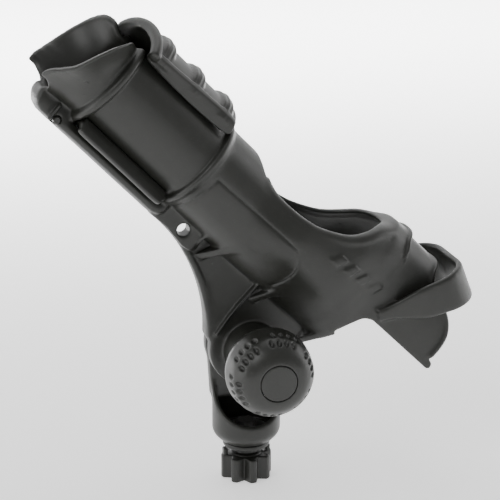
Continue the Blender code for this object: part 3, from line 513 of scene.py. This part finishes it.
def build_cradle():
    """The cradle as one moulding, with its tether, pin, bush and spring holes."""
    grid = Grid((-196, -42, -26), (86, 42, 121), 0.6 * COARSE)
    tube = add_tube(grid)
    add_barrel(grid)
    add_web(grid, tube)
    add_loop(grid)
    add_hood_details(grid, tube)
    cut, x, y, z = grid.window((-190, -42, -26), (30, 42, 34))
    across = np.abs(y) - 12.0
    grid.remove(cut, common(rod(x, z, TETHER_AT, TETHER_HOLE), across, 0.3), 0.9)
    grid.remove(cut, common(rod(x, z, PIN_AT, PIN_HOLE), across - 14.0, 0.3), 0.4)
    grid.remove(cut, plate(rod(x, z, (0, 0), BUSH_BORE), y, BOSS_Y - 2, -7, 0.3), 0.4)
    grid.remove(cut, plate(rod(x, z, (0, 0), SPRING_BORE), y, -8.4, 2, 0.3), 0.4)
    return surface("cradle_body", grid, CRADLE_TO_WORLD)


# ---------------------------------------------------------------- collar

def build_collar():
    """The C-shaped collar with its ribbed hood and two thumb wings."""
    grid = Grid((-173, -40, 10), (-96, 41, 93), 0.5 * COARSE)
    x, y, z = grid.x, grid.y, grid.z
    r, turn = around_barrel(x, y, z)
    lift = ease(HOOD_END, HOOD_END + math.radians(12), turn) * (turn < COLLAR_UPPER_END + 0.4)
    inner = COLLAR_INNER + (HOOD_INNER - COLLAR_INNER) * lift
    outer = COLLAR_OUTER + (HOOD_OUTER - COLLAR_OUTER) * lift - 0.2 * lift
    near = ease(COLLAR_UPPER_END, math.radians(-40.0), turn)
    rim = HOOD_FRONT_NEAR_X + (HOOD_FRONT_FAR_X - HOOD_FRONT_NEAR_X) * near
    reach = ease(HOOD_END + math.radians(4), HOOD_END + math.radians(16), turn) * lift
    front = COLLAR_X[0] + (rim - COLLAR_X[0]) * reach
    wall = common(r - outer, inner - r, 1.0)
    wall = common(wall, common(front - x, x - COLLAR_X[1], 0.8), 1.0)
    middle = (COLLAR_UPPER_END + COLLAR_LOWER_END) / 2.0
    near_top = (turn > -0.5) & (turn < middle)
    lean = 0.024 * np.clip(r - COLLAR_INNER, 0.0, 12.0) * (0.3 + 0.7 * ease(-159.0, -104.0, x)) * near_top
    gap = sector_gap(r, turn + lean, middle, (COLLAR_LOWER_END - COLLAR_UPPER_END) / 2.0)
    wall = common(wall, -gap, 0.8)
    hood_side = sector_gap(r, turn, math.radians(-4.0), math.radians(49.0))
    bead = np.sqrt((x - front - 2.4) ** 2 + (r - outer + 0.2) ** 2) - 2.9
    wall = join(wall, common(bead, hood_side, 1.2), 1.0)
    hood_side = common(hood_side, turn + lean - COLLAR_UPPER_END, 0.1)
    for centre in RIB_CENTRES_X:
        fade = 2.6 * ease(math.radians(18.0), math.radians(40.0), turn)
        crest = RIB_RADIUS - 0.10 * (x - centre) ** 2 - fade
        pad = common(r - crest, np.abs(x - centre) - 4.3, 0.8)
        for groove in (-1.5, 1.2):
            pad = common(pad, 0.75 - np.sqrt((x - centre - groove) ** 2 + (r - crest) ** 2), 0.3)
        pad = common(pad, HOOD_INNER + 1.0 - r, 0.4)
        wall = join(wall, common(pad, hood_side, 1.0), 0.8)
    for low, high in ((-145.6, -132.8), (-123.6, -111.4)):
        crown = 1.8 * np.cos(math.pi * np.clip((x - (low + high) / 2) / (high - low), -0.5, 0.5))
        cushion = common(r - HOOD_OUTER - crown, HOOD_INNER + 1.0 - r, 0.6)
        cushion = common(cushion, common(low - x, x - high, 0.8), 0.8)
        wall = join(wall, common(cushion, hood_side + 1.0, 1.6), 1.2)
    wing = turned_area(smooth_line([
        (-158.6, 28.8), (-158.4, 33.0), (-156.2, WING_RADIUS), (-140, WING_RADIUS), (-118, WING_RADIUS),
        (-101.8, WING_RADIUS), (-99.4, 33.2), (-99.2, 28.8), (-118, 27.4), (-140, 27.4)], 3, True), x, r)
    upper = sector_gap(r, turn + lean, COLLAR_UPPER_END - WING_SPAN / 2.0, WING_SPAN / 2.0)
    wall = join(wall, common(common(wing, COLLAR_INNER + 0.6 - r, 0.5), upper, 0.8), 0.5)
    lower = sector_gap(r, turn, COLLAR_LOWER_END + WING_SPAN / 2.0, WING_SPAN / 2.0)
    wall = join(wall, common(common(wing, COLLAR_INNER + 0.6 - r, 0.5), lower, 0.8), 0.5)
    grid.field = wall.astype(np.float32)
    return surface("locking_collar_body", grid, CRADLE_TO_WORLD)


# ---------------------------------------------------------------- base

def build_yoke():
    """The hollow cup with its slanted rim, and the ear that rises from its far side."""
    grid = Grid((-24, -21, 20), (24, 21, 102), 0.45 * COARSE)
    x, y, z = grid.x, grid.y, grid.z
    r = np.sqrt(x * x + y * y)
    cup = r - 18.9
    chamfer = (r - 13.7 - 1.02 * (z - 21.9)) / 1.43
    cup = common(common(cup, chamfer, 2.4), 21.9 - z, 0.8)
    cup = common(cup, z - 66.0, 0.8)
    slant = smooth_line([(-40, 24), (-18.9, 34.6), (-8, 42), (1.0, 51.5), (4.0, 58)], 4)
    open_side = area_distance(slant + [(4.0, 110), (-40, 110)], y, z)
    cup = common(cup, -np.broadcast_to(open_side, cup.shape), 0.9)
    far_top = smooth_line([(11.3, 100), (11.3, 58), (13.2, 50), (22, 40)], 3) + [(40, 40), (40, 100)]
    cup = common(cup, -np.broadcast_to(area_distance(far_top, y, z), cup.shape), 1.2)
    hollow = common(common(r - 16.4, 27.0 - z, 1.0), z - 80.0, 0.5)
    under_ear = [(-30, 20), (30, 20), (30, 41), (4.0, 46), (4.0, 90), (-30, 90)]
    hollow = common(hollow, np.broadcast_to(area_distance(under_ear, y, z), cup.shape), 1.2)
    body = common(cup, -hollow, 0.8)
    ear = plate(rod(x, z, (0, PIVOT_Z), 21.6), y, 4.2, 11.3, 1.8)
    neck = area_distance([(-18.4, 47), (18.4, 47), (19.8, 70), (-19.8, 70)], x, z)
    body = join(body, join(ear, plate(neck, y, 4.4, 11.1, 1.4), 1.0), 1.6)
    hole = plate(rod(x, z, (0, PIVOT_Z), BOLT_HOLE), y, 0, 30, 0.2)
    pocket = hexagon(x, z - PIVOT_Z, HEAD_POCKET * math.cos(math.radians(30)) + 0.4, 30)
    body = common(body, -hole, 0.3)
    body = common(body, -plate(pocket, y, 6.6, 30, 0.2), 0.6)
    body = common(body, -common(r - 8.8, z - 40.0, 0.2), 0.4)
    grid.field = np.broadcast_to(body, grid.field.shape).astype(np.float32)
    return surface("base_yoke_body", grid, BASE_TO_WORLD)


def build_post():
    """The eight-point star, its neck, shoulder, spigot and two small prongs."""
    grid = Grid((-17, -17, -1.6), (17, 17, 29.4), 0.3 * COARSE)
    x, y, z = grid.x, grid.y, grid.z
    r = np.sqrt(x * x + y * y)
    outline = []
    for i in range(8):
        middle = math.radians(-21.0) + 2.0 * math.pi * (i + 0.5) / 8
        for offset, radius in ((-7.5, 14.2), (0.0, 14.5), (7.5, 14.2), (22.5, 10.3)):
            angle = middle + math.radians(offset)
            outline.append((radius * math.sin(angle), -radius * math.cos(angle)))
    star = area_distance(outline, x, y)
    body = common(star, np.abs(z - 6.85) - 6.85, 0.9)
    body = join(body, common(r - 6.6, np.abs(z - 17.0) - 4.6, 0.4), 1.6)
    body = join(body, common(r - 8.8, np.abs(z - 13.5) - 1.2, 0.8), 0.8)
    body = join(body, common(r - 13.1, np.abs(z - 20.25) - 1.3, 0.7), 0.6)
    body = join(body, common(r - 8.5, np.abs(z - 23.5) - 3.8, 0.5), 0.4)
    prong = common(np.abs(np.abs(x) - 12.2) - 1.2, np.abs(y) - 2.2, 0.5)
    body = join(body, common(prong, np.abs(z - 13.2) - 4.2, 0.5), 0.5)
    body = common(body, -common(r - 2.5, 9.0 - z, 0.2), 0.3)
    grid.field = body.astype(np.float32)
    return surface("star_post_body", grid, BASE_TO_WORLD)


# ---------------------------------------------------------------- knob

def knob_profile():
    """Half section of the knob as (radius, y), from the bore round the dome to the back."""
    dome = smooth_line([
        (CAP_RADIUS + 0.3, KNOB_FACE_Y), (13.6, KNOB_FACE_Y + 0.9), (17.0, KNOB_FACE_Y + 3.0),
        (20.0, KNOB_FACE_Y + 6.4), (22.2, KNOB_FACE_Y + 10.8), (23.2, KNOB_RIM_Y + 0.6),
        (23.4, KNOB_RIM_Y + 3.5),
        (22.6, KNOB_RIM_Y + 7.0), (20.2, KNOB_RIM_Y + 12.0), (17.6, KNOB_BACK_Y - 2.0), (17.0, KNOB_BACK_Y)])
    return [
        (BOLT_HOLE, KNOB_BACK_Y), (BOLT_HOLE, KNOB_FACE_Y + 3.6), (CAP_RADIUS + 0.3, KNOB_FACE_Y + 3.6)
    ] + dome


def build_knob():
    """The domed knob with six groups of grip dimples in two rows."""
    grid = Grid((-25, -65.5, -25), (25, -24.5, 25), 0.32 * COARSE)
    x, y, z = grid.x, grid.y, grid.z
    r = np.sqrt(x * x + z * z)
    fine = 0.15
    radii = np.arange(0.0, 37.0, fine)
    table = area_distance(knob_profile(), radii[:, None], y[0, :, 0][None, :])
    place = r / fine
    lower = np.broadcast_to(place.astype(np.int32), np.broadcast(r, y).shape)
    share = place - place.astype(np.int32)
    columns = np.broadcast_to(np.arange(table.shape[1])[None, :, None], lower.shape)
    body = table[lower, columns] * (1.0 - share) + table[lower + 1, columns] * share
    body = common(body, -common(hexagon(x, z, NUT_POCKET, 0), y - (KNOB_RIM_Y + 0.3), 0.2), 0.3)
    rows = ((20.2, KNOB_FACE_Y + 6.6, 0.0, (0.87, 0.50)), (22.7, KNOB_FACE_Y + 12.6, -6.0, (0.985, 0.17)))
    for group in range(6):
        for step in (-1.5, -0.5, 0.5, 1.5):
            for radius, depth, offset, lean in rows:
                turn = math.radians(79.0 + 60.0 * group + 11.5 * step + offset)
                spoke = (math.cos(turn), math.sin(turn))
                low = tuple(radius * s - 4.5 for s in spoke)
                part, px, py, pz = grid.window((low[0], depth - 4.5, low[1]),
                                               (low[0] + 9.0, depth + 4.5, low[1] + 9.0))
                out = px * spoke[0] + pz * spoke[1] - radius
                side = px * spoke[1] - pz * spoke[0]
                back = py - depth
                lengthwise = back * lean[0] + out * lean[1]
                upright = out * lean[0] - back * lean[1]
                pit = np.sqrt((side / 1.35) ** 2 + (lengthwise / 2.5) ** 2 + (upright / 1.5) ** 2)
                pit = (pit - 1.0) * 1.35
                body[part] = common(body[part], -pit, 0.3)
    grid.field = body.astype(np.float32)
    return surface("knob_shell", grid, KNOB_TO_WORLD)


def build_cap():
    """The flush cap in the knob's face, slightly crowned, its edge rounded."""
    grid = Grid((-11, -65.2, -11), (11, -59.0, 11), 0.25 * COARSE)
    x, y, z = grid.x, grid.y, grid.z
    r = np.sqrt(x * x + z * z)
    face = KNOB_FACE_Y + 0.02 + 0.0012 * r * r
    body = common(r - CAP_RADIUS - 0.08, common(face - y, y - (KNOB_FACE_Y + 3.2), 0.3), 0.45)
    grid.field = body.astype(np.float32)
    return surface("knob_cap_disc", grid, KNOB_TO_WORLD)


# ---------------------------------------------------------------- materials

def link(tree, source, out, target, into):
    tree.links.new(source.outputs[out], target.inputs[into])


def new_material(name):
    """A material with nodes: the material, its tree, its shader and its object coordinates."""
    material = bpy.data.materials.new(name)
    material.use_nodes = True
    tree = material.node_tree
    return material, tree, tree.nodes["Principled BSDF"], tree.nodes.new("ShaderNodeTexCoord")


def noise(tree, coordinates, scale, detail=4.0, roughness=0.6):
    node = tree.nodes.new("ShaderNodeTexNoise")
    node.inputs["Scale"].default_value = scale
    node.inputs["Detail"].default_value = detail
    node.inputs["Roughness"].default_value = roughness
    link(tree, coordinates, "Object", node, "Vector")
    return node


def remap(tree, source, out, low, high, to_low, to_high):
    """Spreads low..high of a node's output over to_low..to_high."""
    node = tree.nodes.new("ShaderNodeMapRange")
    for name, value in (("From Min", low), ("From Max", high), ("To Min", to_low), ("To Max", to_high)):
        node.inputs[name].default_value = value
    link(tree, source, out, node, "Value")
    return node


def mix_colour(tree, under, over, share):
    """Mixes a colour, or another mix, with a second colour by share."""
    node = tree.nodes.new("ShaderNodeMix")
    node.data_type = "RGBA"
    node.inputs["B"].default_value = (*over, 1.0)
    if isinstance(under, tuple):
        node.inputs["A"].default_value = (*under, 1.0)
    else:
        link(tree, under, "Result", node, "A")
    link(tree, share, "Result", node, "Factor")
    return node


def bump(tree, height, strength, distance):
    node = tree.nodes.new("ShaderNodeBump")
    node.inputs["Strength"].default_value = strength
    node.inputs["Distance"].default_value = distance
    link(tree, height, "Fac", node, "Height")
    return node


def paler(colour, factor, lift):
    return tuple(min(1.0, c * factor + lift) for c in colour)


def moulded(name, dark, light, roughness, spread, grain, grain_depth, edge):
    """Glass-filled nylon: cloudy colour, fine spark-eroded grain, flow marks and a painted highlight that
    lightens the edges.
    """
    material, tree, shader, coordinates = new_material(name)
    cloud = noise(tree, coordinates, 38.0, 5.0)
    speck = noise(tree, coordinates, 1400.0, 2.0)
    flow = noise(tree, coordinates, 120.0, 6.0, 0.7)
    geometry = tree.nodes.new("ShaderNodeNewGeometry")
    base = mix_colour(tree, dark, light, remap(tree, cloud, "Fac", 0.3, 0.7, 0.0, 1.0))
    fleck = mix_colour(tree, base, paler(light, 1.9, 0.01), remap(tree, speck, "Fac", 0.60, 0.78, 0.0, 0.35))
    # Painted highlight: the colour is lightened where pointiness finds a convex edge, standing in for gloss
    # on rounded edges; edge sets how strong it is.
    edge_highlight = mix_colour(
        tree, fleck, paler(light, 2.2, 0.02), remap(tree, geometry, "Pointiness", 0.54, 0.64, 0.0, edge))
    link(tree, edge_highlight, "Result", shader, "Base Color")
    link(tree, remap(tree, flow, "Fac", 0.3, 0.7, roughness - spread, roughness + spread),
         "Result", shader, "Roughness")
    shader.inputs["Specular IOR Level"].default_value = 0.5
    fine = bump(tree, noise(tree, coordinates, grain, 3.0, 0.55), 0.35, grain_depth)
    wave = bump(tree, flow, 0.25, 0.0004)
    link(tree, fine, "Normal", wave, "Normal")
    link(tree, wave, "Normal", shader, "Normal")
    return material


def steel(name, colour, roughness):
    """Brushed stainless steel with turning marks and a little handling haze."""
    material, tree, shader, coordinates = new_material(name)
    stretch = tree.nodes.new("ShaderNodeMapping")
    stretch.inputs["Scale"].default_value = (1.0, 14.0, 1.0)
    link(tree, coordinates, "Object", stretch, "Vector")
    lines = tree.nodes.new("ShaderNodeTexNoise")
    lines.inputs["Scale"].default_value = 260.0
    lines.inputs["Detail"].default_value = 6.0
    link(tree, stretch, "Vector", lines, "Vector")
    haze = remap(tree, noise(tree, coordinates, 90.0, 4.0), "Fac", 0.3, 0.7, 0.0, 1.0)
    link(tree, mix_colour(tree, paler(colour, 0.78, 0.0), colour, haze), "Result", shader, "Base Color")
    gloss = remap(tree, lines, "Fac", 0.3, 0.7, roughness - 0.08, roughness + 0.1)
    link(tree, gloss, "Result", shader, "Roughness")
    shader.inputs["Metallic"].default_value = 1.0
    link(tree, bump(tree, lines, 0.2, 0.00005), "Normal", shader, "Normal")
    return material


# ---------------------------------------------------------------- pieces

# The last number of each moulded material sets the strength of its painted edge highlight.
CHARCOAL = moulded(
    "nylon_charcoal", (0.0105, 0.0110, 0.0088), (0.0150, 0.0156, 0.0128), 0.38, 0.04, 2600.0, 0.00006, 0.4)
COLLAR = moulded(
    "nylon_collar", (0.0105, 0.0109, 0.0088), (0.0150, 0.0155, 0.0128), 0.36, 0.04, 2400.0, 0.00005, 0.4)
KNOB = moulded(
    "nylon_knob", (0.0120, 0.0125, 0.0102), (0.0165, 0.0171, 0.0143), 0.32, 0.04, 2200.0, 0.00004, 0.3)
POST = moulded(
    "nylon_post", (0.0095, 0.0099, 0.0080), (0.0130, 0.0135, 0.0112), 0.36, 0.04, 2400.0, 0.00005, 0.3)
ACETAL = moulded("acetal_white", (0.60, 0.59, 0.55), (0.70, 0.69, 0.65), 0.35, 0.05, 1800.0, 0.00003, 0.1)
STEEL = steel("steel_turned", (0.50, 0.50, 0.49), 0.36)


def put_in(made, body, node, material):
    """A made piece rides its body, replaces its CAD node and wears its material."""
    made.data.materials.clear()
    made.data.materials.append(material)
    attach(made, body)
    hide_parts(node)


put_in(build_cradle(), "tilting_cradle", "cradle", CHARCOAL)
put_in(build_collar(), "collar", "locking_collar", COLLAR)
put_in(build_yoke(), "base", "base_yoke", CHARCOAL)
put_in(build_post(), "base", "star_post", POST)
put_in(build_knob(), "hand_knob", "knob_body", KNOB)
put_in(build_cap(), "hand_knob", "knob_cap", KNOB)

for name, node in frame["nodes"].items():
    if not node.hide_render:
        looks = ACETAL if name in ("pivot_bush", "ear_tooth_ring", "hub_tooth_ring") else STEEL
        node.data.materials.clear()
        node.data.materials.append(CHARCOAL if name == "keel_pin" else looks)


# ---------------------------------------------------------------- floor, light and camera

FLOOR_HALF = 20.0
FLOOR_REAR = 3.0
BEND_RADIUS = 1.5
BEND_STEPS = 12
BACKDROP_TOP = 9.0


def make_floor():
    """A pale floor that curves up into a backdrop far behind."""
    profile = [(-FLOOR_HALF, 0.0), (FLOOR_REAR, 0.0)]
    for i in range(1, BEND_STEPS + 1):
        turn = math.radians(90.0 * i / BEND_STEPS)
        across = BEND_RADIUS * math.sin(turn)
        profile.append((FLOOR_REAR + across, BEND_RADIUS - BEND_RADIUS * math.cos(turn)))
    profile.append((FLOOR_REAR + BEND_RADIUS, BACKDROP_TOP))
    corners, faces = [], []
    for y, z in profile:
        corners += [(-FLOOR_HALF, y, z), (FLOOR_HALF, y, z)]
    for i in range(len(profile) - 1):
        faces.append((2 * i, 2 * i + 1, 2 * i + 3, 2 * i + 2))
    mesh = bpy.data.meshes.new("floor")
    mesh.from_pydata(corners, [], faces)
    floor = bpy.data.objects.new("floor", mesh)
    bpy.context.scene.collection.objects.link(floor)
    floor.data.shade_smooth()
    material = bpy.data.materials.new("floor_paper")
    material.use_nodes = True
    shader = material.node_tree.nodes["Principled BSDF"]
    shader.inputs["Base Color"].default_value = (0.9, 0.9, 0.9, 1.0)
    shader.inputs["Roughness"].default_value = 0.9
    shader.inputs["Emission Color"].default_value = (1.0, 1.0, 1.0, 1.0)
    shader.inputs["Emission Strength"].default_value = 0.7
    mesh.materials.append(material)
    return floor


def soft_light(name, place, aim, size, power):
    data = bpy.data.lights.new(name, "AREA")
    data.shape = "RECTANGLE"
    data.size, data.size_y = size
    data.energy = power
    light = bpy.data.objects.new(name, data)
    light.location = place
    light.rotation_euler = (Vector(aim) - Vector(place)).to_track_quat("-Z", "Y").to_euler()
    bpy.context.scene.collection.objects.link(light)
    return light


def camera_direction(azimuth, elevation):
    a, e = math.radians(azimuth), math.radians(elevation)
    return Vector((math.sin(a) * math.cos(e), -math.cos(a) * math.cos(e), math.sin(e)))


CAMERA_AZIMUTH = -15.86
CAMERA_ELEVATION = 17.71
CAMERA_DISTANCE = 1.0
CAMERA_AIM = Vector((0.00227, 0.0, 0.13118))
CAMERA_LENS = 133.56
SENSOR_WIDTH = 36.0

make_floor()
AIM = (0.0, 0.0, 0.13)
soft_light("key", (-0.75, -0.55, 1.0), AIM, (0.6, 0.6), 3.6)
soft_light("top", (0.15, 0.3, 1.3), AIM, (0.8, 0.8), 3.0)
soft_light("left", (-1.1, -0.1, 0.2), AIM, (0.5, 0.9), 3.4)
soft_light("right", (1.1, 0.0, 0.35), AIM, (0.5, 0.8), 2.6)
behind = soft_light("behind", (0.0, 1.25, 1.3), (0.0, 1.3, 0.0), (2.6, 1.0), 60.0)
behind.data.spread = math.radians(75.0)

world = bpy.data.worlds.new("studio")
world.use_nodes = True
world.node_tree.nodes["Background"].inputs["Color"].default_value = (1.0, 1.0, 1.0, 1.0)
world.node_tree.nodes["Background"].inputs["Strength"].default_value = 0.5
bpy.context.scene.world = world

camera_data = bpy.data.cameras.new("camera")
camera_data.lens = CAMERA_LENS
camera_data.sensor_width = SENSOR_WIDTH
camera_data.clip_end = 50.0
camera = bpy.data.objects.new("camera", camera_data)
back = camera_direction(CAMERA_AZIMUTH, CAMERA_ELEVATION)
camera.location = CAMERA_AIM + back * CAMERA_DISTANCE
camera.rotation_euler = back.to_track_quat("Z", "Y").to_euler()
bpy.context.scene.collection.objects.link(camera)
bpy.context.scene.camera = camera
